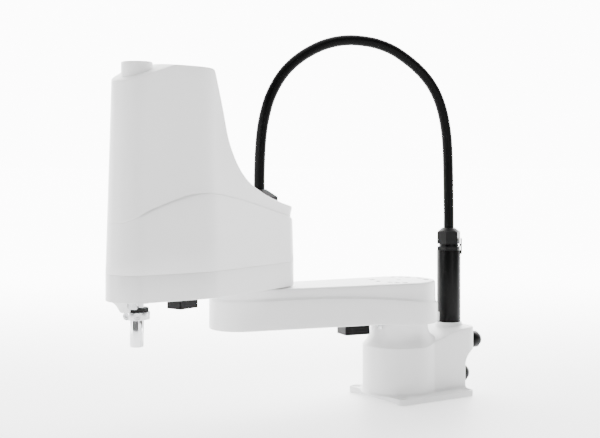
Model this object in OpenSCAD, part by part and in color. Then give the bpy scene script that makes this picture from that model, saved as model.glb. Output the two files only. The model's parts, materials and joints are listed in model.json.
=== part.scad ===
// SCARA robot arm, bolted down, 400 mm reach, 150 mm of shaft travel.
// Origin: the first axis, on the plate's bottom face. +X is the way the arm reaches, +Z is up.

/* [Reach] */
// First axis to second axis
arm1_len = 225; // [150:1:400]
// Second axis to the shaft's axis
arm2_len = 175; // [120:1:300]
// Arm 1's heading from +X in the stored pose
arm1_turn = -8.5; // [-130:0.5:130]
// Arm 2's heading from arm 1 in the stored pose
arm2_turn = 27.4; // [-140:0.1:140]

/* [Base] */
// Plate in front of the first axis
plate_front = 42; // [30:1:80]
// Plate behind the first axis
plate_rear = 81; // [60:1:120]
// Plate width
plate_w = 117; // [90:1:200]
// Plate thickness
plate_t = 8.5; // [5:0.5:20]
// Foundation bolt hole diameter
bolt_hole_d = 9; // [5:0.5:14]
// Bolt holes, front to rear spacing
bolt_dx = 105; // [60:1:200]
// Bolt holes, side to side spacing
bolt_dy = 99; // [60:1:200]
// Column diameter
column_d = 96; // [70:1:160]
// Height of the column's shoulder
shoulder_z = 70; // [50:1:120]
// Height of the rear block
rear_z = 87.6; // [60:0.1:160]
// Width of the rear block
rear_w = 80; // [60:1:120]
// Reach of the rear block behind the first axis
rear_x = 104; // [80:1:160]
// Neck diameter
neck_d = 75; // [50:1:120]
// Height of the neck's top
neck_z = 97; // [80:1:140]

/* [Hose post] */
// Post behind the first axis
post_x = 85.3; // [70:0.1:120]
// Post diameter
post_d = 31.8; // [20:0.1:50]
// Height of the tube's top
post_z = 188; // [120:1:300]
// Hose outer diameter
hose_d = 14; // [8:0.5:25]

/* [Arms] */
// Underside of arm 1
arm1_z = 102.8; // [90:0.1:140]
// Top of arm 1
arm1_top = 152.5; // [130:0.5:200]
// Radius of arm 1's first end
arm1_r1 = 50.5; // [40:0.5:80]
// Radius of arm 1's second end
arm1_r2 = 38; // [25:0.5:60]
// Underside of arm 2
arm2_z = 154; // [140:0.5:200]
// Height of the joint between arm 2's casting and its lower cover
band_z = 184; // [165:1:220]
// Top of the upper cover
cover_top = 416; // [300:1:500]
// Wall of the covers
wall = 3; // [1.5:0.5:6]

/* [Shaft] */
// Shaft diameter
shaft_d = 16; // [10:1:25]
// Hollow shaft bore
shaft_bore = 11; // [4:1:16]
// Height of the shaft's tip
tip_z = 102; // [90:1:140]
// Height of the shaft's upper end
shaft_top = 408; // [300:1:480]

/* [Hidden] */
$fn = 96;

white = [0.93, 0.93, 0.93];
black = [0.06, 0.06, 0.07];
steel = [0.75, 0.76, 0.78];
dark = [0.25, 0.25, 0.27];
belt_grey = [0.15, 0.15, 0.16];
gap = 0.1;
belt_clear = 0.4;
big = 300;

// Base
shelf_z = 64;
cavity_r = 43;
neck_bore_r = 32.5;
foot_z = 91.5;
shoulder_run = 90;
post_hex = 28;
post_hex_turn = 36;
foot_relief = 2;
corner_r = 8;
pad_w = 10;

// Reducers and output flanges
flange_z = 98.8;
flange_r = 40;
flange_top = 110;
spigot_r = 24.25;
ring_r = 35.35;
screw_angles = [11.3, 41.7, 57.3, 73.3, 191.3, 221.7, 237.3, 253.3];
lift_hole_angles = [-24.7, 155.3];
j2_bore_r = 30;
j2_floor = 118;

// Arm 2's plan: a nose round the shaft, the widest place, and two rear corners
nose_r = 34.6;
wide_u = 105;
wide_r = 58;
rear_u = -35;
rear_v = 25;
rear_r = 25;
draft = 7;

// Inside arm 2
floor_t = 8;
cap_r = 17.6;
motor_u = 85;
motor_v = 24;
small_motor = 40;
j2_motor_w = 56;
plate_lo = 206;
plate_hi = 232;
plate_thick = 6;
r_pulley_z = 186;
z_pulley_z = 240;
pulley_h = 10;
nut_r = 18;
spline_r = 15.5;
nut_pulley_r = 24;
spline_pulley_r = 26;
small_pulley_r = 12;
belt_t = 1.6;
leg_spots = [[58, 46], [58, -46], [118, 46], [118, -46]];

// Collar and screws, in arm 2's frame
collar_r = 14.7;
collar_z = 133;
collar_h = 8.2;
clamp_turn = 38;
clamp_off = 10.8;
set_screw_turn = 47;
damper_top = 145.7;

// Tool end of the shaft, from the tip up to a shallow groove, with a milled slot
tool_end = 131.5;
slot_turn = 73;
slot_top = 124;

// Hose route: distance from the post towards arm 2 in the hose's upright plane, and height
route = [[0, 204], [0, 236], [0.5, 268], [1, 298], [2, 325], [4, 347], [8, 368], [14, 387],
         [22.5, 404], [34, 419], [48, 432], [65, 444], [86, 455.5], [111, 463.2], [138, 466],
         [161, 464.8], [185, 459], [207, 449], [226, 436.5], [242, 421.5], [254, 404.5], [263, 386],
         [269, 366], [272.8, 346], [275, 322], [276.2, 292], [276.3, 258]];
apex = 14;
hose_leg_u = -37.3;
elbow = [arm1_len * cos(arm1_turn), arm1_len * sin(arm1_turn)];
arm2_head = arm1_turn + arm2_turn;
leg = elbow + hose_leg_u * [cos(arm2_head), sin(arm2_head)];
run = leg - [-post_x, 0];
run_dir = run / norm(run);
side_dir = [-run_dir[1], run_dir[0], 0];

function at_plane(p) = [-post_x + run_dir[0] * p[0], run_dir[1] * p[0], p[1]];
hose_line = [for (p = route) at_plane(p)];
half_split = 0.2;
function unit(v) = v / norm(v);
function way(pts, i) = unit(pts[min(i + 1, len(pts) - 1)] - pts[max(i - 1, 0)]);
function ring(c, t, r, n) = [for (k = [0:n - 1])
    c + r * (cos(360 * k / n) * side_dir + sin(360 * k / n) * cross(t, side_dir))];

// The hose from route point a to b, cut square at the apex with a small space to its other half
module hose_half(a, b, n = 12) {
    cut_at = b == apex ? -half_split : half_split;
    line = [for (i = [a:b]) hose_line[i] + (i == apex ? cut_at : 0) * way(hose_line, i)];
    rings = [for (i = [a:b]) ring(line[i - a], way(hose_line, i), hose_d / 2, n)];
    m = b - a + 1;
    sides = [for (i = [0:m - 2]) for (k = [0:n - 1])
        [i * n + k, (i + 1) * n + k, (i + 1) * n + (k + 1) % n, i * n + (k + 1) % n]];
    ends = [[for (k = [0:n - 1]) k], [for (k = [n - 1:-1:0]) (m - 1) * n + k]];
    polyhedron([for (r = rings) each r], concat(sides, ends));
}

module on_arm1() {
    rotate(arm1_turn) children();
}

module on_arm2() {
    translate(elbow) rotate(arm2_head) children();
}

module on_shaft() {
    on_arm2() translate([arm2_len, 0]) children();
}

module tube(r, inner, z0, z1) {
    translate([0, 0, z0]) difference() {
        cylinder(r = r, h = z1 - z0);
        translate([0, 0, -1]) cylinder(r = inner, h = z1 - z0 + 2);
    }
}

module rounded_rect(x0, x1, w, r) {
    for (x = [x0 + r, x1 - r], y = [-w / 2 + r, w / 2 - r])
        translate([x, y]) circle(r = r);
    translate([x0 + r, -w / 2]) square([x1 - x0 - 2 * r, w]);
    translate([x0, -w / 2 + r]) square([x1 - x0, w - 2 * r]);
}

module side_cut(w) {
    rotate([90, 0, 0]) linear_extrude(height = w, center = true) children();
}

module foundation_bolts() {
    x0 = (plate_front - plate_rear) / 2;
    for (sx = [-1, 1], sy = [-1, 1])
        translate([x0 + sx * bolt_dx / 2, sy * bolt_dy / 2]) children();
}

function shoulder(x) = shoulder_z + (rear_z - shoulder_z) * (1 - cos(180 * x / shoulder_run)) / 2;

module base_side() {
    undercut_r = 20;
    undercut_z = 58;
    slope = [for (k = [0:10]) [-shoulder_run * k / 10, shoulder(shoulder_run * k / 10)]];
    arc = [for (a = [90:-15:0])
        [-rear_x + 4 + undercut_r * cos(a), undercut_z - undercut_r + undercut_r * sin(a)]];
    polygon(concat([[column_d / 2, plate_t - 0.5], [column_d / 2, shoulder_z]], slope,
                   [[-rear_x, rear_z], [-rear_x, undercut_z]], arc, [[-rear_x + 24, plate_t - 0.5]]));
}

module base_casting() {
    color(white) difference() {
        union() {
            linear_extrude(height = plate_t) rounded_rect(-plate_rear, plate_front, plate_w, corner_r);
            intersection() {
                linear_extrude(height = rear_z) {
                    circle(d = column_d);
                    rounded_rect(-rear_x, 0, rear_w, 19);
                    translate([-30, -rear_w / 2]) square([30, rear_w]);
                }
                side_cut(column_d + 2) base_side();
            }
            translate([0, 0, shoulder_z - 0.5]) cylinder(r1 = 47.4, r2 = neck_d / 2, h = 15.5);
            cylinder(d = neck_d, h = neck_z);
            translate([-post_x, 0, 60]) cylinder(r = 17.5, h = foot_z - 60);
        }
        translate([0, 0, plate_t]) cylinder(r = cavity_r, h = shelf_z - plate_t);
        translate([0, 0, plate_t]) cylinder(r = neck_bore_r, h = neck_z);
        translate([-74, -30, 13]) cube([60, 60, 25]);
        translate([-97, -27, 60]) cube([30, 54, 16]);
        translate([-post_x, 0, 60]) cylinder(r = 10, h = 40);
        translate([plate_front - 14, -plate_w / 2 + pad_w, -1])
            cube([20, plate_w - 2 * pad_w, 1 + foot_relief]);
        foundation_bolts() translate([0, 0, -1]) cylinder(d = bolt_hole_d, h = plate_t + 2);
    }
}

// A round plug body pointing to the rear, with a tapered end
module round_connector(x, z, r, h) {
    taper = 5;
    color(black) translate([x, 20, z]) rotate([0, -90, 0]) {
        cylinder(r = r, h = h - taper);
        translate([0, 0, h - taper]) cylinder(r1 = r, r2 = r - 3.5, h = taper);
    }
}

module rear_connector_upper() {
    round_connector(-rear_x, 67.8, 11.1, 15.6);
}

module rear_connector_lower() {
    round_connector(-rear_x + 24, 25, 12.1, 17);
}

module motor_body(w, z0, z1) {
    translate([-w / 2, -w / 2, z0]) difference() {
        cube([w, w, z1 - z0]);
        for (x = [0, w], y = [0, w])
            translate([x, y, -1]) rotate(45) cube([w / 5, w / 5, 3 * (z1 - z0)], center = true);
    }
}

module j1_motor() {
    color(dark) {
        motor_body(60, 12, 58);
        translate([0, 0, 58]) cylinder(r = 40, h = shelf_z - 58);
    }
}

module j1_reducer() {
    color(steel) difference() {
        translate([0, 0, shelf_z]) cylinder(r = neck_bore_r - gap, h = 96.5 - shelf_z);
        translate([0, 0, 90]) cylinder(r = spigot_r + 0.05, h = 10);
    }
}

module hexagon(af, h) {
    cylinder(d = af / cos(30), h = h, $fn = 6);
}

module at_post() {
    translate([-post_x, 0]) children();
}

module post_tube() {
    color(black) at_post() tube(post_d / 2, post_d / 2 - 3, foot_z, post_z);
}

module post_flange() {
    color(black) at_post() difference() {
        union() {
            translate([0, 0, post_z]) rotate(post_hex_turn) hexagon(post_hex, 5);
            translate([0, 0, post_z + 1]) cylinder(r = 12.9, h = 7.6);
        }
        translate([0, 0, post_z - 1]) cylinder(r = 9, h = 12);
    }
}

module gland_nut() {
    top = 218.2;
    color(black) at_post() difference() {
        intersection() {
            translate([0, 0, 196.6]) rotate(post_hex_turn) hexagon(post_hex, top - 196.6);
            union() {
                translate([0, 0, 196.6]) cylinder(r = 17, h = 15);
                translate([0, 0, 211.5]) cylinder(r1 = 17, r2 = 8.6, h = top - 211.5);
            }
        }
        translate([0, 0, 190]) cylinder(r = 9, h = 20);
        translate([0, 0, 205]) cylinder(r = hose_d / 2 + gap, h = 20);
    }
}

module gland_seal() {
    color(dark) at_post() tube(8.9, hose_d / 2 + gap, 198, 209.9);
}

module post_lock_tab() {
    tab_x = post_d / 2;
    color(black) at_post() rotate(138) difference() {
        union() {
            translate([tab_x, -3, 183]) cube([1.8, 6, 21]);
            translate([tab_x - 1.6, -2.5, 193.2]) cube([2, 5, 3.2]);
            translate([tab_x - 1, -2, 183]) cube([2, 4, 4.8]);
        }
        translate([0, 0, 180]) cylinder(d = post_d, h = 8);
    }
}

module hose_base_half() {
    color(black) hose_half(0, apex);
}

module hose_arm_half() {
    color(black) hose_half(apex, len(route) - 1);
}

// Plan of arm 1: two round ends and their tangents
module arm1_plan(r1, r2) {
    f = asin((r1 - r2) / arm1_len);
    circle(r = r1);
    translate([arm1_len, 0]) circle(r = r2);
    polygon([[r1 * sin(f), r1 * cos(f)], [arm1_len + r2 * sin(f), r2 * cos(f)],
             [arm1_len + r2 * sin(f), -r2 * cos(f)], [r1 * sin(f), -r1 * cos(f)]]);
}

function crease1(u) = 139 - 16.5 * pow(max(0, 165 - u) / 215, 2);

module arm1_side() {
    top = [for (u = [270:-22:-60]) [u, crease1(u)]];
    polygon(concat([[-60, 98.5], [20, 98.5], [54, arm1_z - 0.6], [270, arm1_z]], top));
}

module arm1_casting() {
    color(white) on_arm1() difference() {
        union() {
            intersection() {
                linear_extrude(height = 150) arm1_plan(arm1_r1, arm1_r2);
                side_cut(120) arm1_side();
            }
            translate([0, 0, 112]) linear_extrude(height = arm1_top - 112) arm1_plan(47.6, 35.5);
        }
        translate([0, 0, 90]) cylinder(r = flange_r + gap, h = flange_top - 90);
        for (a = screw_angles) rotate(a) translate([ring_r, 0, 100]) {
            cylinder(r = 2.3, h = 60, $fn = 24);
            translate([0, 0, 45]) cylinder(r = 3.8, h = 10, $fn = 32);
        }
        for (a = lift_hole_angles) rotate(a) translate([ring_r, 0, 130]) cylinder(r = 4.2, h = 30);
        translate([0, 0, 140]) cylinder(r = 3, h = 20);
        translate([arm1_len, 0, j2_floor]) cylinder(r = j2_bore_r, h = 60);
        translate([54, -28, 110]) cube([122, 56, 34]);
        translate([59, -7, 95]) cube([22, 18, 20]);
        translate([39.4, 19.6, 90]) cylinder(r = 1.6, h = 18, $fn = 24);
    }
}

module j1_output_flange() {
    color(steel) on_arm1() difference() {
        union() {
            translate([0, 0, 90.4]) cylinder(r = spigot_r, h = flange_z - 90);
            translate([0, 0, flange_z]) cylinder(r = flange_r, h = flange_top - flange_z);
        }
        for (a = screw_angles) rotate(a) translate([ring_r, 0, 80]) cylinder(r = 2.3, h = 60, $fn = 24);
        translate([39.4, 19.6, 80]) cylinder(r = 4, h = 40, $fn = 24);
    }
}

module arm1_flange_screws() {
    color(steel) on_arm1() for (a = screw_angles) rotate(a) translate([ring_r, 0, 0]) {
        translate([0, 0, 100]) cylinder(r = 2.2, h = 46, $fn = 24);
        difference() {
            translate([0, 0, 145.1]) cylinder(r = 3.6, h = 4, $fn = 32);
            translate([0, 0, 147]) hexagon(3, 5);
        }
    }
}

module j1_stop_block() {
    color(white) on_arm1() difference() {
        translate([-57, -8, 96]) cube([14, 16, 12]);
        translate([0, 0, 98.4]) cylinder(r = arm1_r1 + gap, h = 40);
    }
}

module arm1_stop_bolt() {
    color(steel) on_arm1() translate([39.4, 19.6, 0]) {
        translate([0, 0, 98.6]) cylinder(r = 1.5, h = 9, $fn = 24);
        translate([0, 0, 93]) cylinder(r = 3.5, h = 5.4, $fn = 32);
        translate([0, 0, 98]) cylinder(r = 1.5, h = 1, $fn = 24);
    }
}

module arm1_under_cover() {
    color(black) on_arm1() difference() {
        translate([51, -11, 86]) cube([35, 26, 15.7]);
        translate([53.5, -8.5, 90]) cube([30, 21, 20]);
    }
}

module j2_reducer() {
    color(steel) on_arm1() translate([arm1_len, 0]) difference() {
        translate([0, 0, j2_floor]) cylinder(r = j2_bore_r - gap, h = 151.5 - j2_floor);
        translate([0, 0, 146]) cylinder(r = 22.05, h = 10);
    }
}

// Plan of arm 2, drawn in by the given amount
module arm2_plan(inset) {
    hull() {
        translate([arm2_len, 0]) circle(r = nose_r - inset);
        translate([wide_u, 0]) circle(r = wide_r - inset);
        for (s = [-1, 1]) translate([rear_u, s * rear_v]) circle(r = rear_r - inset);
    }
}

module arm2_prism(z0, in0, z1, in1) {
    hull() {
        translate([0, 0, z0]) linear_extrude(height = 0.01) arm2_plan(in0);
        translate([0, 0, z1 - 0.01]) linear_extrude(height = 0.01) arm2_plan(in1);
    }
}

// Height of the edge between the lower and upper covers, and the upper cover's outline
crease2 = [[-60, 236], [-39, 241], [-17, 246.5], [23, 256.5], [62, 264.8], [99, 271.2], [115, 272.8],
           [128, 272.2], [140, 270], [151, 266.8], [163, 262.6], [174, 258.6], [186, 253.6], [195, 248.6],
           [202, 244], [212, 237]];
tower = [[208, 395], [153.5, cover_top - 0.4], [150, cover_top], [120, cover_top - 1.4],
         [101.5, cover_top - 3.6], [95, 392], [89.7, 374], [85, 356], [80.2, 337.5], [76, 327],
         [70.3, 316], [62, 303.5], [52, 292.5], [40, 283], [25, 275], [8, 267.6], [-12, 261],
         [-34, 255], [-50, 251.5], [-58, 248]];

module below_crease(drop) {
    side_cut(big) polygon(concat([[-90, 0], [-90, 228 - drop]], [for (p = crease2) [p[0], p[1] - drop]],
                                 [[230, 226 - drop], [230, 0]]));
}

module above_crease(lift) {
    side_cut(big) polygon(concat([[-90, 500], [-90, 228 + lift]], [for (p = crease2) [p[0], p[1] + lift]],
                                 [[230, 226 + lift], [230, 500]]));
}

module under_tower(shrink) {
    side_cut(big) offset(delta = -shrink)
        polygon(concat([[230, 0], [230, 386.6]], tower, [[-90, 244], [-90, 0]]));
}

// A lug under the nose, in front of the damper and cut round to clear it
module nose_boss() {
    low = 142;
    translate([arm2_len, 0, 0]) difference() {
        translate([19, 1.4, low]) cylinder(r1 = 5.6, r2 = 13.6, h = 13);
        translate([0, 0, low - 1]) cylinder(r = 16.4, h = 20);
        rotate(clamp_turn) translate([-40, -4.8, low - 1]) cube([80, 40, 5.1]);
        rotate(clamp_turn) translate([-40, -6.6, low + 4]) cube([80, 46, 8]);
    }
}

module arm2_casting() {
    color(white) on_arm2() difference() {
        translate([0, 0, arm2_z]) linear_extrude(height = band_z - arm2_z) arm2_plan(0);
        difference() {
            translate([0, 0, arm2_z + floor_t]) linear_extrude(height = 60) arm2_plan(5);
            translate([arm2_len, 0, 0]) cylinder(r = 26, h = 172);
        }
        translate([arm2_len, 0, 100]) cylinder(r = 22, h = 100);
        translate([0, 0, 100]) cylinder(r = 13, h = 100);
        translate([104, 2, 153]) cube([20, 12, 30], center = true);
    }
    color(white) on_arm2() nose_boss();
}

module arm2_lower_cover() {
    color(white) on_arm2() difference() {
        intersection() {
            arm2_prism(band_z, 0, 274, 1.8);
            below_crease(0);
        }
        arm2_prism(band_z - 1, wall + 0.2, 276, wall + 2);
    }
}

module arm2_upper_cover() {
    color(white) on_arm2() difference() {
        intersection() {
            arm2_prism(232, 2, cover_top + 1, draft);
            above_crease(0);
            under_tower(0);
        }
        intersection() {
            arm2_prism(230, wall + 2, cover_top + 2, draft + wall);
            under_tower(wall);
        }
        translate([arm2_len, 0, 380]) cylinder(r = cap_r + gap, h = 60);
        translate([hose_leg_u, 0, 240]) cylinder(r = 9, h = 60);
    }
}

module shaft_cap() {
    color(white) on_shaft() difference() {
        translate([0, 0, 385]) cylinder(r = cap_r, h = 34);
        translate([0, 0, 384]) cylinder(r = 14.5, h = 32);
    }
}

module arm2_under_cover() {
    color(black) on_arm2() difference() {
        translate([89, -9, 138]) cube([30, 22, 15.9]);
        translate([91.5, -6.5, 141]) cube([25, 17, 20]);
    }
}

module hose_boot() {
    color(black) on_arm2() difference() {
        translate([hose_leg_u, 0, 0]) hull() {
            translate([-16.5, -16.5, 250]) cube([33, 33, 13.5]);
            translate([0, 0, 250]) cylinder(r = 9, h = 23, $fn = 32);
        }
        under_tower(0);
        translate([hose_leg_u, 0, 240]) cylinder(r = hose_d / 2 + gap, h = 60);
    }
}

module j2_output_flange() {
    color(steel) on_arm2() difference() {
        translate([0, 0, 146.4]) cylinder(r = 22, h = arm2_z - 146.4);
        translate([0, 0, 140]) cylinder(r = 9, h = 30);
    }
}

module j2_motor() {
    color(dark) on_arm2() motor_body(j2_motor_w, arm2_z + floor_t, 234);
}

module z_motor() {
    color(dark) on_arm2() translate([motor_u, motor_v]) motor_body(small_motor, 168, plate_hi);
}

module r_motor() {
    color(dark) on_arm2() translate([motor_u, -motor_v]) motor_body(small_motor, plate_lo + plate_thick, 278);
}

module motor_plate() {
    color(steel) on_arm2() difference() {
        union() {
            translate([0, 0, plate_lo]) linear_extrude(height = plate_thick) {
                polygon([[52, 50], [122, 50], [190, 15], [190, -15], [122, -50], [52, -50]]);
            }
            for (p = leg_spots) translate([p[0], p[1], arm2_z + floor_t]) cylinder(r = 4, h = 45);
        }
        translate([motor_u - 20.5, motor_v - 20.5, 200]) cube([41, 41, 20]);
        translate([motor_u, -motor_v, 200]) cylinder(r = 8, h = 20);
        translate([arm2_len, 0, 200]) cylinder(r = 12, h = 20);
    }
}

module nut_plate() {
    color(steel) on_arm2() difference() {
        translate([0, 0, plate_hi]) linear_extrude(height = plate_thick - 1) {
            polygon([[64, 46], [118, 46], [186, 20], [197, 0], [186, -18], [150, -18], [107, -2], [64, 3]]);
        }
        translate([motor_u, motor_v, 200]) cylinder(r = 8, h = 60);
        translate([arm2_len, 0, 200]) cylinder(r = nut_r + belt_clear, h = 60);
    }
}

module nut_plate_posts() {
    color(steel) on_arm2() for (p = [[122, 36], [138, -6]])
        translate([p[0], p[1], plate_lo + plate_thick])
            cylinder(r = 4, h = plate_hi - plate_lo - plate_thick);
}

module spline_bearing() {
    color(steel) on_shaft() tube(21.9, spline_r + 0.05, 158, 171);
}

module nut_bearing() {
    color(steel) on_shaft() tube(23, nut_r + 0.05, 222, plate_hi);
}

module belt(r1, spot, r2, z) {
    translate([0, 0, z + 1]) linear_extrude(height = pulley_h - 2) difference() {
        hull() {
            translate([arm2_len, 0]) circle(r = r1 + belt_clear + belt_t);
            translate(spot) circle(r = r2 + belt_clear + belt_t);
        }
        hull() {
            translate([arm2_len, 0]) circle(r = r1 + belt_clear);
            translate(spot) circle(r = r2 + belt_clear);
        }
    }
}

module z_belt() {
    color(belt_grey) on_arm2() belt(nut_pulley_r, [motor_u, motor_v], small_pulley_r, z_pulley_z);
}

module r_belt() {
    color(belt_grey) on_arm2() belt(spline_pulley_r, [motor_u, -motor_v], small_pulley_r, r_pulley_z);
}

module toothed_pulley(r, z) {
    translate([0, 0, z]) difference() {
        cylinder(r = r, h = pulley_h);
        for (k = [0:11]) rotate(30 * k) translate([r, 0, -1]) cylinder(r = 1, h = pulley_h + 2, $fn = 16);
    }
}

module nose_keeper_plate() {
    color(steel) on_shaft() rotate(clamp_turn) {
        translate([17, -6.4, 146.2]) cube([7.5, 9.6, 7.7]);
        translate([17, 4.9, 148.4]) cube([6.5, 5.4, 5.5]);
    }
}

module nose_keeper_screws() {
    color(steel) on_shaft() rotate(clamp_turn) translate([24.5, 1.3, 150]) rotate([0, 90, 0])
        difference() {
            cylinder(r = 2.3, h = 1.6, $fn = 32);
            translate([0, 0, 0.8]) hexagon(2, 2);
        }
}

module spline_nut_pulley() {
    color(steel) on_shaft() difference() {
        union() {
            translate([0, 0, 151]) cylinder(r = spline_r, h = r_pulley_z - 151);
            toothed_pulley(spline_pulley_r, r_pulley_z);
        }
        translate([0, 0, 140]) cylinder(r = shaft_d / 2 + 0.05, h = 80);
    }
}

module ball_nut_pulley() {
    color(steel) on_shaft() difference() {
        union() {
            translate([0, 0, 214]) cylinder(r = nut_r, h = z_pulley_z - 214);
            toothed_pulley(nut_pulley_r, z_pulley_z);
        }
        translate([0, 0, 200]) cylinder(r = shaft_d / 2 + 0.05, h = 80);
    }
}

module motor_pulley(z, hub_z, hub_h) {
    toothed_pulley(small_pulley_r, z);
    translate([0, 0, hub_z]) cylinder(r = 4, h = hub_h);
}

module z_motor_pulley() {
    color(steel) on_arm2() translate([motor_u, motor_v]) motor_pulley(z_pulley_z, plate_hi + 0.4, 8);
}

module r_motor_pulley() {
    color(steel) on_arm2() translate([motor_u, -motor_v])
        motor_pulley(r_pulley_z, 195, plate_lo + plate_thick - 195.4);
}

module spline_shaft() {
    r = shaft_d / 2;
    color(steel) on_shaft() difference() {
        union() {
            translate([0, 0, tip_z]) cylinder(r1 = r - 1, r2 = r, h = 1);
            translate([0, 0, tip_z + 1]) cylinder(r = r, h = tool_end - tip_z - 1);
            translate([0, 0, tool_end - 0.5]) cylinder(r = r - 0.3, h = 2);
            translate([0, 0, tool_end + 1]) cylinder(r = r, h = shaft_top - tool_end - 1);
        }
        translate([0, 0, tip_z - 1]) cylinder(d = shaft_bore, h = shaft_top);
        rotate(slot_turn) translate([r - 0.9, -1.2, tip_z - 1]) cube([5, 2.4, slot_top - tip_z + 1]);
    }
}

module shaft_top_ring() {
    color(steel) on_shaft() tube(12, shaft_d / 2, shaft_top - 6, shaft_top - 1);
}

module clamp_collar() {
    mid_z = collar_z + collar_h / 2;
    color(steel) on_shaft() rotate(clamp_turn) difference() {
        translate([0, 0, collar_z]) cylinder(r = collar_r, h = collar_h);
        translate([0, 0, collar_z - 1]) cylinder(d = shaft_d, h = 20);
        translate([-0.7, -20, collar_z - 1]) cube([1.4, 20 - shaft_d / 2 + 1, 20]);
        translate([-9, -clamp_off, mid_z]) rotate([0, 90, 0]) cylinder(r = 2, h = 30, $fn = 24);
        translate([3.9, -clamp_off, mid_z]) rotate([0, 90, 0]) cylinder(r = 4, h = 30, $fn = 48);
        rotate(set_screw_turn - clamp_turn) translate([6, 0, mid_z]) rotate([0, 90, 0])
            cylinder(r = 3.3, h = 20, $fn = 32);
    }
}

module collar_screws() {
    mid_z = collar_z + collar_h / 2;
    color(steel) on_shaft() {
        rotate(set_screw_turn) translate([shaft_d / 2 + gap, 0, mid_z]) rotate([0, 90, 0])
            difference() {
                cylinder(r = 3.2, h = 5.4, $fn = 32);
                translate([0, 0, 2.4]) hexagon(3.2, 5);
            }
        rotate(clamp_turn) translate([0, -clamp_off, mid_z]) rotate([0, 90, 0]) {
            translate([0, 0, -8.5]) cylinder(r = 1.9, h = 12.5, $fn = 24);
            difference() {
                translate([0, 0, 4]) cylinder(r = 3.7, h = 4.2, $fn = 48);
                translate([0, 0, 5.8]) hexagon(3.2, 5);
            }
        }
    }
}

module stop_damper() {
    color(black) on_shaft() tube(13, shaft_d / 2, collar_z + collar_h, damper_top);
}

base_casting();
rear_connector_upper();
rear_connector_lower();
j1_motor();
j1_reducer();
post_tube();
post_flange();
gland_nut();
gland_seal();
post_lock_tab();
hose_base_half();
arm1_casting();
j1_output_flange();
arm1_flange_screws();
j1_stop_block();
arm1_stop_bolt();
arm1_under_cover();
j2_reducer();
arm2_casting();
arm2_lower_cover();
arm2_upper_cover();
shaft_cap();
arm2_under_cover();
hose_boot();
hose_arm_half();
j2_output_flange();
j2_motor();
z_motor();
r_motor();
motor_plate();
nut_plate();
nut_plate_posts();
spline_bearing();
nut_bearing();
z_belt();
r_belt();
nose_keeper_plate();
nose_keeper_screws();
spline_nut_pulley();
ball_nut_pulley();
z_motor_pulley();
r_motor_pulley();
spline_shaft();
shaft_top_ring();
clamp_collar();
collar_screws();
stop_damper();
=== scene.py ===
import json
from math import asin, atan2, cos, degrees, pi, radians, sin, sqrt

import bmesh
import bpy
import numpy as np
from mathutils import Matrix, Vector


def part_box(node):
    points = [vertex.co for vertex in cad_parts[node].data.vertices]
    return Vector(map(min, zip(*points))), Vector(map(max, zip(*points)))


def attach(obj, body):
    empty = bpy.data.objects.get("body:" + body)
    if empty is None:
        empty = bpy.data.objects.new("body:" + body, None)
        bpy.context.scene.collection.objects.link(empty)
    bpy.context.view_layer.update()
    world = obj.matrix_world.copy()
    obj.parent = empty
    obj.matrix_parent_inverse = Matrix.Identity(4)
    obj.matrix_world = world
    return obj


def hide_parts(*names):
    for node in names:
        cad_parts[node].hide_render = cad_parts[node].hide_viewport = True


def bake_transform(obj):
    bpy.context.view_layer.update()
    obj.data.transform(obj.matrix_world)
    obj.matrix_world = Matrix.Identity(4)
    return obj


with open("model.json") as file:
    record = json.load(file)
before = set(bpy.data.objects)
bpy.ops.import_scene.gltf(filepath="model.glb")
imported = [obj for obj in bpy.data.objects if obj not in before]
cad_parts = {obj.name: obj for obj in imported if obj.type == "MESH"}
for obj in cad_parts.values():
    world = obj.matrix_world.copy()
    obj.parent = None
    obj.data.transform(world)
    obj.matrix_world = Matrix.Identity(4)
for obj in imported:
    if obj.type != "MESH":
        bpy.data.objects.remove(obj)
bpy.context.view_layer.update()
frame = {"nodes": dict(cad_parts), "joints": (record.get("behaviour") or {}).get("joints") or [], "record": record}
NODES = frame["nodes"]
JOINTS = {j["name"]: j for j in frame["joints"]}
MM = 0.001

# Places that the frame gives: the elbow, the tool shaft and the two arms' headings.
ELBOW = Vector(JOINTS["j2_turn"]["pos_m"])
TOOL = Vector(JOINTS["r_turn"]["pos_m"])
HEAD1 = atan2(ELBOW.y, ELBOW.x)
HEAD2 = atan2(TOOL.y - ELBOW.y, TOOL.x - ELBOW.x)
ARM1_LEN = Vector(ELBOW[:2]).length / MM
ARM2_LEN = (Vector(TOOL[:2]) - Vector(ELBOW[:2])).length / MM
ON_BASE = Matrix.Identity(4)
ON_ARM1 = Matrix.Rotation(HEAD1, 4, "Z")
ON_ARM2 = Matrix.Translation((ELBOW.x, ELBOW.y, 0)) @ Matrix.Rotation(HEAD2, 4, "Z")
ON_SHAFT = Matrix.Translation((TOOL.x, TOOL.y, 0)) @ Matrix.Rotation(HEAD2, 4, "Z")


# ---- camera ----

def make_camera():
    """A level camera on the arm's left, looking across it; the frame is cropped from a taller view."""
    data = bpy.data.cameras.new("camera")
    data.sensor_width = 36
    data.lens = 69
    data.shift_y = -0.0986
    cam = bpy.data.objects.new("camera", data)
    cam.location = (0.9376, 1.1935, 0.310)
    turn = radians(33.23)
    cam.rotation_euler = Vector((-sin(turn), -cos(turn), 0)).to_track_quat("-Z", "Y").to_euler()
    bpy.context.scene.collection.objects.link(cam)
    bpy.context.scene.camera = cam


make_camera()


# ---- mesh tools ----

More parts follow.
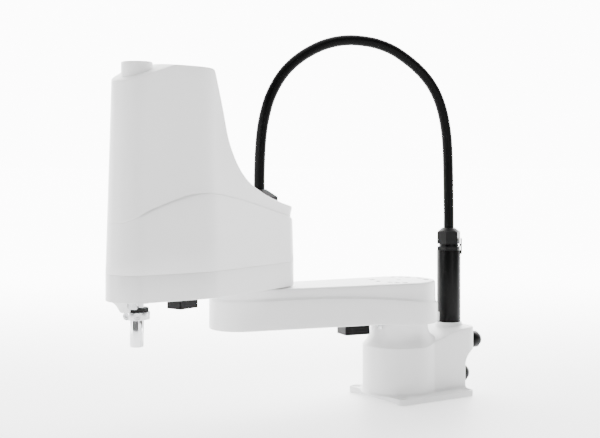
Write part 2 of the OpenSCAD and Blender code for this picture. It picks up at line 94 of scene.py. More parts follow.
def link(name, verts, faces, place=ON_BASE, smooth=True):
    """A new mesh object from points in millimetres, put where place says."""
    mesh = bpy.data.meshes.new(name)
    mesh.from_pydata([place @ (Vector(v) * MM) for v in verts], [], faces)
    mesh.validate()
    bm = bmesh.new()
    bm.from_mesh(mesh)
    bmesh.ops.remove_doubles(bm, verts=bm.verts, dist=1e-6)
    bmesh.ops.recalc_face_normals(bm, faces=bm.faces)
    bm.to_mesh(mesh)
    bm.free()
    for p in mesh.polygons:
        p.use_smooth = smooth
    obj = bpy.data.objects.new(name, mesh)
    bpy.context.scene.collection.objects.link(obj)
    return obj


def applied(obj):
    """obj with its modifiers made part of its mesh."""
    graph = bpy.context.evaluated_depsgraph_get()
    mesh = bpy.data.meshes.new_from_object(obj.evaluated_get(graph))
    obj.modifiers.clear()
    obj.data = mesh
    return obj


def joined(name, parts):
    """One object that holds all the parts' meshes."""
    bm = bmesh.new()
    for p in parts:
        bm.from_mesh(p.data)
        bpy.data.objects.remove(p)
    mesh = bpy.data.meshes.new(name)
    bm.to_mesh(mesh)
    bm.free()
    obj = bpy.data.objects.new(name, mesh)
    bpy.context.scene.collection.objects.link(obj)
    return obj


def cut(obj, tools):
    """obj with the tools' shapes taken out."""
    tool = joined("cutter", tools)
    m = obj.modifiers.new("cut", "BOOLEAN")
    m.operation = "DIFFERENCE"
    m.solver = "EXACT"
    m.use_self = True
    m.object = tool
    applied(obj)
    bpy.data.objects.remove(tool)
    return obj


def crisp(obj, angle=35):
    """Smooth shading with sharp edges past the angle."""
    for p in obj.data.polygons:
        p.use_smooth = True
    bm = bmesh.new()
    bm.from_mesh(obj.data)
    for e in bm.edges:
        e.smooth = len(e.link_faces) != 2 or e.calc_face_angle(0) < radians(angle)
    bm.to_mesh(obj.data)
    bm.free()
    return obj


def lathe(name, profile, place=ON_BASE, n=96, at=(0, 0)):
    """A solid of revolution about Z from (radius, height) points, bottom to top."""
    verts = []
    faces = []
    rows = []
    for r, z in profile:
        if r < 1e-6:
            rows.append([len(verts)] * n)
            verts.append((at[0], at[1], z))
        else:
            rows.append([len(verts) + k for k in range(n)])
            verts += [(at[0] + r * cos(2 * pi * k / n), at[1] + r * sin(2 * pi * k / n), z) for k in range(n)]
    for a, b in zip(rows, rows[1:]):
        for k in range(n):
            face = [a[k], a[(k + 1) % n], b[(k + 1) % n], b[k]]
            face = [v for i, v in enumerate(face) if v not in face[:i]]
            if len(face) > 2:
                faces.append(face)
    return link(name, verts, faces, place)


def rod(r, z0, z1, at=(0, 0), n=32, place=ON_BASE):
    """A plain closed cylinder, for cutting holes."""
    return lathe("rod", [(0, z0), (r, z0), (r, z1), (0, z1)], place, n, at)


def block(lo, hi, place=ON_BASE):
    """A plain box from corner lo to corner hi."""
    verts = [(x, y, z) for z in (lo[2], hi[2])
             for x, y in ((lo[0], lo[1]), (hi[0], lo[1]), (hi[0], hi[1]), (lo[0], hi[1]))]
    sides = [(k, (k + 1) % 4, (k + 1) % 4 + 4, k + 4) for k in range(4)]
    return link("block", verts, [(0, 1, 2, 3), (4, 5, 6, 7)] + sides, place)


def curve_at(points):
    """A smooth function through (x, y) points that never overshoots them."""
    x, y = np.array(points, float).T
    h, d = np.diff(x), np.diff(y) / np.diff(x)
    m = np.zeros(len(x))
    for i in range(1, len(x) - 1):
        if d[i - 1] * d[i] > 0:
            w1, w2 = 2 * h[i] + h[i - 1], h[i] + 2 * h[i - 1]
            m[i] = (w1 + w2) / (w1 / d[i - 1] + w2 / d[i])
    m[0], m[-1] = d[0], d[-1]

    def f(u):
        i = int(np.clip(np.searchsorted(x, u) - 1, 0, len(h) - 1))
        t = float(np.clip((u - x[i]) / h[i], 0, 1))
        a, b = (1 + 2 * t) * (1 - t) ** 2, t * (1 - t) ** 2
        c, e = t * t * (3 - 2 * t), t * t * (t - 1)
        return float(a * y[i] + b * h[i] * m[i] + c * y[i + 1] + e * h[i] * m[i + 1])

    return f


def arc(cx, cy, r, a0, a1, n):
    """Points of an arc, both ends included, angles in degrees."""
    return [(cx + r * cos(radians(a0 + (a1 - a0) * k / n)), cy + r * sin(radians(a0 + (a1 - a0) * k / n)))
            for k in range(n + 1)]


def between(a, b, n):
    """Points between a and b, without the two ends."""
    return [(a[0] + (b[0] - a[0]) * k / n, a[1] + (b[1] - a[1]) * k / n) for k in range(1, n)]


def full_loop(half):
    """The closed outline whose upper half runs from (u, 0) at the back to (u, 0) at the front."""
    return half + [(u, -v) for u, v in reversed(half[1:-1])]


def shell(name, rings, across=8, place=ON_BASE, crown=0.0):
    """A closed shape from rings of (u, v, z), mirror-symmetric in v and closed by strips that run across it.

    crown raises the middle of the top strips, by that much where a strip is 100 long."""
    n = len(rings[0])
    half = n // 2
    verts = [p for ring in rings for p in ring]
    faces = []
    for j in range(len(rings) - 1):
        for i in range(n):
            k = (i + 1) % n
            faces.append([j * n + i, j * n + k, (j + 1) * n + k, (j + 1) * n + i])

    def close(ring_at, rise):
        ring = rings[ring_at]
        rows = []
        for i in range(half + 1):
            a, b = ring_at * n + i, ring_at * n + (n - i) % n
            if a == b:
                rows.append([a] * (across + 1))
                continue
            pa, pb = Vector(ring[i]), Vector(ring[(n - i) % n])
            row = [a]
            for s in range(1, across):
                t = s / across
                lift = rise * 4 * t * (1 - t) * (pb - pa).length / 100
                row.append(len(verts))
                verts.append(tuple(pa.lerp(pb, t) + Vector((0, 0, lift))))
            rows.append(row + [b])
        for a, b in zip(rows, rows[1:]):
            for s in range(across):
                face = [a[s], a[s + 1], b[s + 1], b[s]]
                face = [v for i, v in enumerate(face) if v not in face[:i]]
                if len(face) > 2:
                    faces.append(face)

    close(0, 0.0)
    close(len(rings) - 1, crown)
    return link(name, verts, faces, place)


# ---- materials ----

def new_material(name):
    mat = bpy.data.materials.new(name)
    mat.use_nodes = True
    tree = mat.node_tree
    shader = tree.nodes["Principled BSDF"]
    return mat, tree, shader


def node(tree, kind, **values):
    n = tree.nodes.new(kind)
    for k, v in values.items():
        if k in n.inputs:
            n.inputs[k].default_value = v
        else:
            setattr(n, k, v)
    return n


def noise(tree, scale, detail=3.0, stretch=(1, 1, 1)):
    """A noise in object space, in metres, stretched along the axes."""
    where = node(tree, "ShaderNodeTexCoord")
    mapping = node(tree, "ShaderNodeMapping")
    mapping.inputs["Scale"].default_value = stretch
    tex = node(tree, "ShaderNodeTexNoise", Scale=scale, Detail=detail)
    tree.links.new(where.outputs["Object"], mapping.inputs["Vector"])
    tree.links.new(mapping.outputs["Vector"], tex.inputs["Vector"])
    return tex.outputs["Fac"]


def spread_of(tree, fac, low, high):
    """fac mapped from its usual range to low..high."""
    m = node(tree, "ShaderNodeMapRange")
    m.inputs["From Min"].default_value = 0.3
    m.inputs["From Max"].default_value = 0.7
    m.inputs["To Min"].default_value = low
    m.inputs["To Max"].default_value = high
    tree.links.new(fac, m.inputs["Value"])
    return m.outputs["Result"]


def tint(tree, fac, a, b):
    """A colour between a and b."""
    m = node(tree, "ShaderNodeMix", data_type="RGBA")
    m.inputs[6].default_value = (*a, 1)
    m.inputs[7].default_value = (*b, 1)
    tree.links.new(fac, m.inputs[0])
    return m.outputs[2]


def bump(tree, fac, strength, distance):
    b = node(tree, "ShaderNodeBump", Strength=strength, Distance=distance)
    tree.links.new(fac, b.inputs["Height"])
    return b.outputs["Normal"]


def paint(name, base, rough=0.38, grain=900, grain_depth=0.00004):
    """Satin paint: a faint orange peel, slow changes of tone and a fine grain."""
    mat, tree, shader = new_material(name)
    slow = noise(tree, 9, 2)
    peel = noise(tree, grain, 2)
    light = tuple(min(1, c * 1.015) for c in base)
    dim = tuple(c * 0.985 for c in base)
    tree.links.new(tint(tree, spread_of(tree, slow, 0, 1), dim, light), shader.inputs["Base Color"])
    tree.links.new(spread_of(tree, slow, rough - 0.03, rough + 0.04), shader.inputs["Roughness"])
    tree.links.new(bump(tree, peel, 0.25, grain_depth), shader.inputs["Normal"])
    shader.inputs["Specular IOR Level"].default_value = 0.45
    return mat


def dark_plastic(name, base, rough, gloss=0.25):
    """Smooth satin black plastic or rubber, with slow changes of tone."""
    mat, tree, shader = new_material(name)
    slow = noise(tree, 25, 3)
    light = tuple(c * 1.35 for c in base)
    dim = tuple(c * 0.8 for c in base)
    tree.links.new(tint(tree, spread_of(tree, slow, 0, 1), dim, light), shader.inputs["Base Color"])
    tree.links.new(spread_of(tree, slow, rough - 0.02, rough + 0.03), shader.inputs["Roughness"])
    shader.inputs["Specular IOR Level"].default_value = gloss
    return mat


def metal(name, base, rough, stretch=(1, 1, 1), scale=700, depth=0.00001):
    """Machined metal with fine marks along one direction."""
    mat, tree, shader = new_material(name)
    marks = noise(tree, scale, 4, stretch)
    slow = noise(tree, 40, 2)
    light = tuple(min(1, c * 1.06) for c in base)
    dim = tuple(c * 0.92 for c in base)
    shader.inputs["Metallic"].default_value = 1
    tree.links.new(tint(tree, spread_of(tree, slow, 0, 1), dim, light), shader.inputs["Base Color"])
    tree.links.new(spread_of(tree, marks, rough * 0.8, rough * 1.3), shader.inputs["Roughness"])
    tree.links.new(bump(tree, marks, 0.2, depth), shader.inputs["Normal"])
    return mat


WHITE_PAINT = paint("white_paint", (0.80, 0.80, 0.80))
WHITE_COVER = paint("white_cover", (0.81, 0.81, 0.81), rough=0.42, grain=1300, grain_depth=0.00003)
BLACK = dark_plastic("black_plastic", (0.0015, 0.0015, 0.0016), 0.34, 0.12)
HOSE = dark_plastic("hose", (0.0012, 0.0012, 0.0013), 0.4, 0.06)
RUBBER = dark_plastic("rubber", (0.004, 0.004, 0.004), 0.55)
MOTOR = dark_plastic("black_metal", (0.012, 0.012, 0.013), 0.4)
CHROME = metal("shaft_steel", (0.80, 0.81, 0.82), 0.09, (1, 1, 0.15))
STEEL = metal("steel", (0.70, 0.71, 0.72), 0.28)
ALUMINIUM = metal("aluminium", (0.72, 0.72, 0.73), 0.35)
BY_SLOT = {"white_paint": WHITE_PAINT, "white_cover": WHITE_COVER, "black_plastic": BLACK, "hose": HOSE,
           "rubber": RUBBER, "black_metal": MOTOR, "shaft_steel": CHROME, "steel": STEEL,
           "aluminium": ALUMINIUM}


def wear(obj, slot):
    """obj takes the slot's material and finish."""
    obj.data.materials.clear()
    obj.data.materials.append(BY_SLOT[slot])
    return obj


# The CAD nodes whose edges are rounded more than the rest.
ROUNDED = ("arm1_under_cover", "arm2_under_cover", "hose_boot",
           "rear_connector_upper", "rear_connector_lower")


def finish_cad_nodes():
    """Every carried-over CAD node gets its material, and small edges a bevel."""
    slots = {s["node"]: s["material_slot"] for s in frame["record"]["subparts"]}
    for name, obj in NODES.items():
        for s in obj.material_slots:
            s.material = BY_SLOT[slots[name]]
        if not obj.material_slots:
            obj.data.materials.append(BY_SLOT[slots[name]])
        lo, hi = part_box(name)
        small = min((hi - lo)) / MM
        weld = obj.modifiers.new("weld", "WELD")
        weld.merge_threshold = 1e-6
        bevel = obj.modifiers.new("bevel", "BEVEL")
        bevel.width = min(1.6 if name in ROUNDED else 0.6, small * 0.08) * MM
        bevel.segments = 2
        bevel.limit_method = "ANGLE"
        bevel.angle_limit = radians(40)
        bevel.harden_normals = False


finish_cad_nodes()


# ---- hose ----

HOSE_R = 6.9
POST = (-85.3, 0.0)
ROUTE = [(0, 204), (0, 236), (0.5, 268), (1, 298), (2, 325), (4, 347), (8, 368), (14, 387),
         (22.5, 404), (34, 419), (48, 432), (65, 444), (86, 455.5), (111, 463.2), (138, 466),
         (161, 464.8), (185, 459), (207, 449), (226, 436.5), (242, 421.5), (254, 404.5), (263, 386),
         (269, 366), (272.8, 346), (275, 322), (276.2, 292), (276.3, 258)]
APEX = 14
HOSE_LEG_U = -37.3


def hose_points():
    """The hose's route in the row frame, in metres, on one smooth curve through the route's points."""
    end = (ON_ARM2 @ Vector((HOSE_LEG_U * MM, 0, 0)))[:2]
    start = Vector((POST[0] * MM, POST[1] * MM))
    way = (Vector(end) - start).normalized()
    return [Vector((start.x + way.x * q * MM, start.y + way.y * q * MM, z * MM)) for q, z in ROUTE]


def smooth_line(points, n):
    """Catmull-Rom points through the given ones, n for each stretch."""
    out = []
    m = len(points)
    for i in range(m - 1):
        p0, p1, p2, p3 = points[max(i - 1, 0)], points[i], points[i + 1], points[min(i + 2, m - 1)]
        for k in range(n):
            t = k / n
            out.append(0.5 * (2 * p1 + (p2 - p0) * t + (2 * p0 - 5 * p1 + 4 * p2 - p3) * t ** 2
                              + (3 * p1 - p0 - 3 * p2 + p3) * t ** 3))
    return out + [points[-1]]


def ways_along(line):
    """The direction of the line at each of its points."""
    last = len(line) - 1
    return [(line[min(i + 1, last)] - line[max(i - 1, 0)]).normalized() for i in range(last + 1)]


def tube_along(name, line, ways, r, n=32):
    """A tube swept along a line of points in metres, square to the given directions."""
    verts, faces = [], []
    side = (line[-1] - line[0]).cross(Vector((0, 0, 1))).normalized()
    for p, ahead in zip(line, ways):
        up = ahead.cross(side).normalized()
        for k in range(n):
            a = 2 * pi * k / n
            verts.append((p + r * (cos(a) * side + sin(a) * up)) / MM)
    for i in range(len(line) - 1):
        for k in range(n):
            faces.append([i * n + k, i * n + (k + 1) % n, (i + 1) * n + (k + 1) % n, (i + 1) * n + k])
    faces.append(list(range(n)))
    faces.append([(len(line) - 1) * n + k for k in reversed(range(n))])
    return link(name, verts, faces)


def make_hose():
    points = hose_points()
    line = smooth_line(points, 5)
    split = APEX * 5
    r = HOSE_R * MM
    ways = ways_along(line)
    halves = [("hose_lower", slice(0, split + 1), "hose_base_half", "base", "arm1"),
              ("hose_upper", slice(split, None), "hose_arm_half", "arm1", "arm2")]
    for name, stretch, cad, a, b in halves:
        part = line[stretch]
        obj = wear(crisp(tube_along(name, part, ways[stretch], r)), "hose")
        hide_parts(cad)
        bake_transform(obj)


make_hose()


# ---- base ----

def base_half(n_arc=10):
    """Upper half of the base's plan: rear block, a hollow corner, and the column."""
    r, w, rear, corner, fillet = 48.0, 40.0, -104.0, 19.0, 8.0
    fy = w + fillet
    fx = -sqrt((r + fillet) ** 2 - fy ** 2)
    meet = degrees(atan2(fy, fx))
    pts = [(rear, 0.0)] + between((rear, 0), (rear + 1.2, w - corner), 3)
    pts += arc(rear + corner, w - corner, corner, 176, 90, n_arc)
    pts += between((rear + corner, w), (fx, w), 6)
    pts += arc(fx, fy, fillet, 270, meet + 180, 6)
    pts += arc(0, 0, r, meet, 0, 24)[1:]
    pts[-1] = (r, 0.0)
    return pts


def shoulder(x):
    run, low, high = 90.0, 70.0, 87.6
    t = min(1.0, max(0.0, -x / run))
    return low + (high - low) * (1 - cos(pi * t)) / 2


def rear_at(z):
    """How far back the rear block reaches at a height: an undercut below its top part."""
    if z <= 38:
        return -80.0
    if z >= 58:
        return -104.0
    return -100 + sqrt(max(0.0, 400 - (z - 38) ** 2))


def outward(loop):
    """The sign that makes a positive distance in grown() go outwards, whichever way the loop runs."""
    area = sum(a[0] * b[1] - b[0] * a[1] for a, b in zip(loop, loop[1:] + loop[:1]))
    return -1 if area > 0 else 1


def grown(loop, by):
    """The outline moved outwards by a distance, along its corners' normals."""
    out = []
    n = len(loop)
    for i, (x, y) in enumerate(loop):
        (x0, y0), (x1, y1) = loop[i - 1], loop[(i + 1) % n]
        dx, dy = x1 - x0, y1 - y0
        d = sqrt(dx * dx + dy * dy) or 1.0
        out.append((x - dy / d * by, y + dx / d * by))
    return out


# The neck's side: radius, and the share of the way from the shoulder up to the neck's top.
NECK_SIDE = [(46.9, 0.005), (46.3, 0.03), (44.6, 0.11), (42.2, 0.23), (39.9, 0.39), (38.5, 0.56),
             (37.7, 0.74), (37.5, 0.9), (37.5, 0.985), (37.1, 1.0)]


def make_base():
    loop = full_loop(base_half())
    side = outward(loop)
    rings = []
    for k in range(6):
        t = radians(90 * k / 5)
        by = 3.0 * (1 - sin(t))
        back = -80.0 - by
        rings.append([(max(x, back), y, 8.0 + 3.4 * (1 - cos(t))) for x, y in grown(loop, by * side)])
    for z in [16, 22, 28, 34, 38, 42, 46, 50, 53, 55.5, 57.3, 58.1]:
        back = rear_at(z)
        rings.append([(max(x, back), y, z) for x, y in loop])
    soft = 1.3
    for t in (0.35, 0.7, 1.0):
        rings.append([(x, y, 58.1 + (shoulder(x) - soft - 58.1) * t) for x, y in loop])
    for k in range(1, 6):
        t = radians(90 * k / 5)
        by = -soft * (1 - cos(t))
        rings.append([(gx, gy, shoulder(x) - soft * (1 - sin(t)))
                      for (x, y), (gx, gy) in zip(loop, grown(loop, by * side))])
    body = shell("body", rings, across=10)
    plate_half = [(-81, 0)] + between((-81, 0), (-80.999, 50.5), 4) + arc(-73, 50.5, 8, 180, 90, 8) \
        + between((-73, 58.5), (34, 58.5), 8) + arc(34, 50.5, 8, 90, 0, 8) \
        + between((42, 50.5), (42, 0), 4) + [(42, 0)]
    plate_loop = full_loop(plate_half)
    side = outward(plate_loop)
    rings = [[(x, y, 0.4) for x, y in grown(plate_loop, -0.8 * side)], [(x, y, 1.0) for x, y in plate_loop],
             [(x, y, 7.3) for x, y in plate_loop]]
    for k in range(1, 4):
        t = radians(90 * k / 3)
        rings.append([(x, y, 7.3 + 1.2 * sin(t)) for x, y in grown(plate_loop, -1.2 * (1 - cos(t)) * side)])
    plate = shell("plate", rings, across=6)
    tools = [rod(4.5, -5, 20, (x, y)) for x in (-72, 33) for y in (-49.5, 49.5)]
    tools += [rod(7.2, 7.9, 30, (x, y), 40) for x in (-72, 33) for y in (-49.5, 49.5)]
    tools.append(block((28, -48.5, -1), (44, 48.5, 2)))
    cut(plate, tools)
    rings = [[(x, y, 60.0) for x, y in full_loop(arc(0, 0, 46.9, 180, 0, 64))]]
    for r, part in NECK_SIDE:
        loop = full_loop(arc(0, 0, r, 180, 0, 64))
        rings.append([(x, y, shoulder(x) + (97 - shoulder(x)) * part) for x, y in loop])
    neck = shell("neck", rings, across=6)
    foot = lathe("foot", [(0, 70), (18.9, 70), (18.9, 88), (18.2, 89.2), (17.5, 90.2), (17.4, 91),
                          (16.9, 91.5), (0, 91.5)], at=POST, n=64)
    base = joined("base_shell", [body, plate, neck, foot])
    crisp(base, 32)
    wear(base, "white_paint")
    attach(base, "base")
    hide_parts("base_casting")


make_base()


# ---- arm 1 ----

def arm1_half(inset, r1, r2, n_end=26, n_side=44):
    """Upper half of arm 1's plan, drawn in by inset."""
    f = degrees(asin((r1 - r2) / ARM1_LEN))
    a, b = r1 - inset, r2 - inset
    rear = arc(0, 0, a, 180, 90 - f, n_end)
    front = arc(ARM1_LEN, 0, b, 90 - f, 0, n_end)
    rear[0], front[-1] = (-a, 0.0), (ARM1_LEN + b, 0.0)
    return rear + between(rear[-1], front[0], n_side) + front


def crease1(u):
    return 139 - 16.5 * (max(0.0, 165 - u) / 215) ** 2


def under1(u):
    return float(np.interp(u, [20, 54, 270], [98.6, 102.2, 102.8]))


# The holes in arm 1's top, on one circle round the first axis, by their angles in degrees.
SCREW_RING_R = 35.35
SCREW_ANGLES = (11.3, 41.7, 57.3, 73.3, 191.3, 221.7, 237.3, 253.3)
LIFT_HOLE_ANGLES = (-24.7, 155.3)


def make_arm1():
    r1, r2, u1, u2, top = 50.5, 38.0, 47.6, 35.5, 152.5
    rings = []

    def add(inset, height, a=r1, b=r2):
        rings.append([(u, v, height(u)) for u, v in full_loop(arm1_half(inset, a, b))])

    soft = 2.2
    for k in range(5):
        t = radians(90 * k / 4)
        add(soft * (1 - sin(t)), lambda u: under1(u) + soft * (1 - cos(t)))
    for t in (0.33, 0.66):
        add(0, lambda u: under1(u) + soft + (crease1(u) - 1.0 - under1(u) - soft) * t)
    add(0, lambda u: crease1(u) - 1.0)
    add(0.15, lambda u: crease1(u) - 0.35)
    add(0.6, lambda u: crease1(u))
    add(r1 - u1 - 0.7, lambda u: crease1(u) + 1.7)
    add(r1 - u1 - 0.2, lambda u: crease1(u) + 2.2)
    add(r1 - u1, lambda u: crease1(u) + 3.0)
    soft = 2.6
    for t in (0.5, 1.0):
        add(0.4 * t, lambda u: crease1(u) + 3 + (top - soft - crease1(u) - 3) * t, u1, u2)
    for k in range(1, 5):
        t = radians(90 * k / 4)
        add(0.4 + soft * (1 - cos(t)), lambda u: top - soft * (1 - sin(t)), u1, u2)
    arm = shell("arm1_shell", rings, across=10, place=ON_ARM1)
    tools = []
    for r, floor, n, angles in ((3.8, 145, 32, SCREW_ANGLES), (4.2, 132, 40, LIFT_HOLE_ANGLES)):
        for a in angles:
            at = (SCREW_RING_R * cos(radians(a)), SCREW_RING_R * sin(radians(a)))
            tools.append(rod(r, floor, 160, at, n, ON_ARM1))
    tools.append(rod(3, 140, 160, (0, 0), 32, ON_ARM1))
    tools.append(rod(40.2, 90, 110, (0, 0), 96, ON_ARM1))
    cut(arm, tools)
    crisp(arm, 38)
    wear(arm, "white_paint")
    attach(arm, "arm1")
    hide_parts("arm1_casting")


make_arm1()


# ---- arm 2 ----

NOSE_R, WIDE_U, WIDE_R, REAR_U, REAR_V, REAR_R = 34.6, 105.0, 58.0, -35.0, 25.0, 25.0


def arm2_half(inset):
    """Upper half of arm 2's plan, drawn in by inset: rear corner, widest place and nose, and tangents."""
    c, w, n = REAR_R - inset, WIDE_R - inset, NOSE_R - inset
    reach = sqrt((WIDE_U - REAR_U) ** 2 + REAR_V ** 2)
    a1 = 90 + degrees(asin((w - c) / reach) - atan2(REAR_V, WIDE_U - REAR_U))
    a2 = 90 - degrees(asin((w - n) / (ARM2_LEN - WIDE_U)))
    rear = arc(REAR_U, REAR_V, c, 176, a1, 14)
    wide = arc(WIDE_U, 0, w, a1, a2, 12)
    nose = arc(ARM2_LEN, 0, n, a2, 0, 30)
    nose[-1] = (ARM2_LEN + n, 0.0)
    back = (REAR_U - c - 0.6, 0.0)
    return [back] + between(back, rear[0], 4) + rear + between(rear[-1], wide[0], 70) + wide \
        + between(wide[-1], nose[0], 24) + nose


crease2 = curve_at([(-61, 235), (-39, 241), (-17, 246.5), (23, 256.5), (62, 264.8), (99, 271.2), (115, 272.8),
                    (128, 272.2), (140, 270), (151, 266.8), (163, 262.6), (174, 258.6), (186, 253.6),
                    (195, 248.6), (202, 244), (212, 237)])
tower = curve_at([(-62, 246.5), (-58, 248), (-50, 251.5), (-34, 255), (-12, 261), (8, 267.6), (25, 275),
                  (40, 283), (52, 292.5), (62, 303.5), (70.3, 316), (76, 327), (80.2, 337.5), (85, 356),
                  (89.7, 374), (95, 392), (98.6, 404.5), (100.2, 409.6), (101.5, 412.2), (104.5, 413.6),
                  (112, 414.6), (135, 415.6), (150, 415.8), (154, 414.8), (180, 405.4), (207, 394.8)])


def drawn_in(z):
    """How far the covers' draft brings the walls in at a height."""
    return 7 * max(0.0, z - 184) / (416 - 184)


def drafted_ring(height, extra=0.0):
    """A ring at a height that varies along the arm, drawn in by the draft of each point's own height."""
    insets = np.linspace(-1, 14, 31)
    loops = [full_loop(arm2_half(float(i))) for i in insets]
    out = []
    for k in range(len(loops[0])):
        u = loops[0][k][0]
        for _ in range(3):
            z = height(u)
            want = drawn_in(z) + extra
            j = int(np.clip(np.searchsorted(insets, want) - 1, 0, len(insets) - 2))
            t = (want - insets[j]) / (insets[j + 1] - insets[j])
            a, b = loops[j][k], loops[j + 1][k]
            u, v = a[0] + (b[0] - a[0]) * t, a[1] + (b[1] - a[1]) * t
        out.append((u, v, height(u)))
    return out


def slope_of(f, u):
    return sqrt(1 + ((f(u + 0.5) - f(u - 0.5)) / 1.0) ** 2)


def ledge(u):
    """How far the upper cover stands in from the lower one; nothing at the nose."""
    t = min(1.0, max(0.0, (201 - u) / 16))
    return 2.1 * t * t * (3 - 2 * t)


def cover_ring(height, extra):
    """drafted_ring with an inset that also varies along the arm."""
    rows = {e: drafted_ring(height, e) for e in (0.0, 1.0, 2.0, 3.0, 4.0, 5.0, 6.0)}
    out = []
    for k in range(len(rows[0.0])):
        want = min(5.999, max(0.0, extra(rows[0.0][k][0])))
        e = float(int(want))
        a, b = rows[e][k], rows[e + 1][k]
        t = want - e
        u, v = a[0] + (b[0] - a[0]) * t, a[1] + (b[1] - a[1]) * t
        out.append((u, v, height(u)))
    return out


def make_upper_cover():
    rings = [cover_ring(lambda u: crease2(u) - 1.0, lambda u: ledge(u) + 1.4),
             cover_ring(lambda u: crease2(u) + 0.1, lambda u: ledge(u) + 0.25),
             cover_ring(lambda u: crease2(u) + 0.5, lambda u: ledge(u) + 0.02),
             cover_ring(lambda u: crease2(u) + 3.0, lambda u: ledge(u))]
    soft = 1.4
    for t in (0.1, 0.25, 0.4, 0.6, 0.8):
        rings.append(cover_ring(
            lambda u: crease2(u) + 3 + (tower(u) - soft * slope_of(tower, u) - crease2(u) - 3) * t,
            lambda u: ledge(u) * (1 - t)))
    for k in range(6):
        t = radians(90 * k / 5)
        rings.append(drafted_ring(lambda u: tower(u) - soft * (1 - sin(t)) * slope_of(tower, u),
                                  soft * (1 - cos(t))))
    cover = shell("cover_upper", rings, across=12, place=ON_ARM2, crown=3.0)
    tools = [rod(17.7, 225, 430, (ARM2_LEN, 0), 96, ON_ARM2), rod(9, 235, 280, (HOSE_LEG_U, 0), 48, ON_ARM2)]
    cut(cover, tools)
    crisp(cover, 45)
    wear(cover, "white_cover")
    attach(cover, "arm2")
    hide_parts("arm2_upper_cover")


def make_lower_cover():
    band = 184.0
    rings = [drafted_ring(lambda u: band + 0.05, 1.0), drafted_ring(lambda u: band + 0.1, 0.25),
             drafted_ring(lambda u: band + 0.4, 0.03)]
    for t in (0.3, 0.6, 0.9):
        rings.append(drafted_ring(lambda u: band + 1 + (crease2(u) - 2.6 - band - 1) * t, 0.03))
    rings.append(drafted_ring(lambda u: crease2(u) - 2.6, 0.03))
    rings.append(cover_ring(lambda u: crease2(u) - 1.9, lambda u: 0.03 + 0.08 * ledge(u)))
    rings.append(cover_ring(lambda u: crease2(u) - 1.4, lambda u: 0.03 + 0.25 * ledge(u)))
    rings.append(cover_ring(lambda u: crease2(u) - 0.1, lambda u: 0.03 + ledge(u)))
    rings.append(cover_ring(lambda u: crease2(u) - 0.1, lambda u: 0.6 + ledge(u)))
    cover = shell("cover_lower", rings, across=10, place=ON_ARM2)
    cut(cover, [rod(17.7, 175, 285, (ARM2_LEN, 0), 96, ON_ARM2)])
    crisp(cover, 45)
    wear(cover, "white_cover")
    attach(cover, "arm2")
    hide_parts("arm2_lower_cover")


def make_arm2_casting():
    low, band, soft = 154.0, 184.0, 0.8
    rings = []

    def add(inset, z):
        rings.append([(u, v, z) for u, v in full_loop(arm2_half(inset))])

    for k in range(5):
        t = radians(90 * k / 4)
        add(soft * (1 - sin(t)), low + soft * (1 - cos(t)))
    add(0.0, 168)
    add(0.0, band - 0.35)
    add(0.12, band - 0.1)
    add(1.0, band)
    body = shell("casting", rings, across=10, place=ON_ARM2)
    cut(body, [rod(22, 150, 157.5, (ARM2_LEN, 0), 96, ON_ARM2)])
    boss = lathe("boss", [(0, 142), (4.9, 142), (5.7, 142.5), (6.6, 144), (8.2, 147), (10.6, 150.4),
                          (13.4, 153), (14.2, 155), (0, 155)], ON_ARM2, 64, (ARM2_LEN + 19, 1.4))
    clear_of = [rod(16.4, 130, 156, (ARM2_LEN, 0), 96, ON_ARM2)]
    clamp_frame = ON_SHAFT @ Matrix.Rotation(radians(38), 4, "Z")
    for right, low, high in ((-4.8, 140, 146.1), (-6.6, 146, 153.9)):
        clear_of.append(block((-40, right, low), (40, 60, high), clamp_frame))
    cut(boss, clear_of)
    casting = joined("arm2_base", [body, boss])
    crisp(casting, 45)
    wear(casting, "white_paint")
    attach(casting, "arm2")
    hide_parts("arm2_casting")


def make_shaft_cap():
    cap = lathe("cap", [(0, 386), (17.3, 386), (17.55, 400), (17.55, 417.8), (17.2, 418.6), (16.4, 419),
                        (0, 419)], ON_SHAFT, 96)
    crisp(cap, 50)
    wear(cap, "white_cover")
    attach(cap, "arm2")
    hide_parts("shaft_cap")


make_upper_cover()
make_lower_cover()
make_arm2_casting()
make_shaft_cap()


# ---- stage and light ----

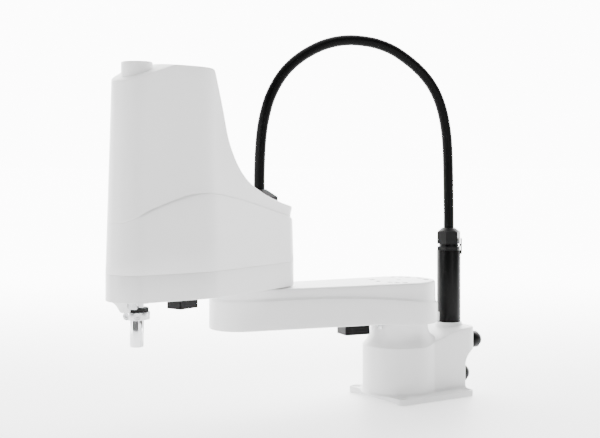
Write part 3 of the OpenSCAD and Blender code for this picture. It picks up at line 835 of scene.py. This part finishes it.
def make_floor():
    """A pale floor all round the object that glows more behind it, as the studio does."""
    turn = Matrix.Rotation(radians(56.77), 4, "Z")
    far = 40000
    corners = [(-far, -far, 0), (far, -far, 0), (far, far, 0), (-far, far, 0)]
    floor = link("floor", corners, [(0, 1, 2, 3)], turn)
    mat, tree, shader = new_material("floor")
    slow = noise(tree, 3, 2)
    tree.links.new(tint(tree, slow, (0.93, 0.93, 0.93), (0.95, 0.95, 0.95)), shader.inputs["Base Color"])
    shader.inputs["Roughness"].default_value = 0.5
    where = node(tree, "ShaderNodeTexCoord")
    behind = node(tree, "ShaderNodeVectorMath", operation="DOT_PRODUCT")
    behind.inputs[1].default_value = (-0.548, -0.8365, 0.0)
    glow = node(tree, "ShaderNodeMapRange", interpolation_type="SMOOTHSTEP")
    glow.inputs["From Min"].default_value = -0.3
    glow.inputs["From Max"].default_value = 1.6
    glow.inputs["To Min"].default_value = FLOOR_NEAR
    glow.inputs["To Max"].default_value = FLOOR_FAR
    tree.links.new(where.outputs["Object"], behind.inputs[0])
    tree.links.new(behind.outputs["Value"], glow.inputs["Value"])
    tree.links.new(glow.outputs["Result"], shader.inputs["Emission Strength"])
    shader.inputs["Emission Color"].default_value = (1, 1, 1, 1)
    floor.data.materials.append(mat)


def area_light(name, at, aim, size, power):
    data = bpy.data.lights.new(name, "AREA")
    data.shape = "RECTANGLE"
    data.size, data.size_y = size
    data.energy = power
    obj = bpy.data.objects.new(name, data)
    obj.location = at
    obj.rotation_euler = (Vector(aim) - Vector(at)).to_track_quat("-Z", "Y").to_euler()
    bpy.context.scene.collection.objects.link(obj)


def make_world():
    """A studio that is bright behind the object and dim on the camera's side."""
    world = bpy.data.worlds.new("studio")
    world.use_nodes = True
    tree = world.node_tree
    back = tree.nodes["Background"]
    back.inputs["Color"].default_value = (1, 1, 1, 1)
    where = node(tree, "ShaderNodeTexCoord")
    dot = node(tree, "ShaderNodeVectorMath", operation="DOT_PRODUCT")
    dot.inputs[1].default_value = (-0.548, -0.8365, 0.0)
    ramp = node(tree, "ShaderNodeMapRange", interpolation_type="SMOOTHSTEP")
    ramp.inputs["From Min"].default_value = WORLD_FROM
    ramp.inputs["From Max"].default_value = WORLD_TO
    ramp.inputs["To Min"].default_value = WORLD_DIM
    ramp.inputs["To Max"].default_value = WORLD_BRIGHT
    tree.links.new(where.outputs["Generated"], dot.inputs[0])
    tree.links.new(dot.outputs["Value"], ramp.inputs["Value"])
    tree.links.new(ramp.outputs["Result"], back.inputs["Strength"])
    bpy.context.scene.world = world


WORLD_FROM, WORLD_TO, WORLD_DIM, WORLD_BRIGHT = 0.1, 0.9, 0.28, 12.0
FLOOR_NEAR, FLOOR_FAR = 0.5, 8.0
make_floor()
make_world()
area_light("top", (0.1, 0.1, 1.9), (0.1, 0, 0.2), (1.6, 1.6), 24)
area_light("right strip", (0.1, 2.2, 0.7), (0.1, 0, 0.3), (0.5, 1.8), 11)
area_light("left strip", (2.2, -0.58, 0.7), (0.2, 0, 0.3), (0.4, 1.8), 30)
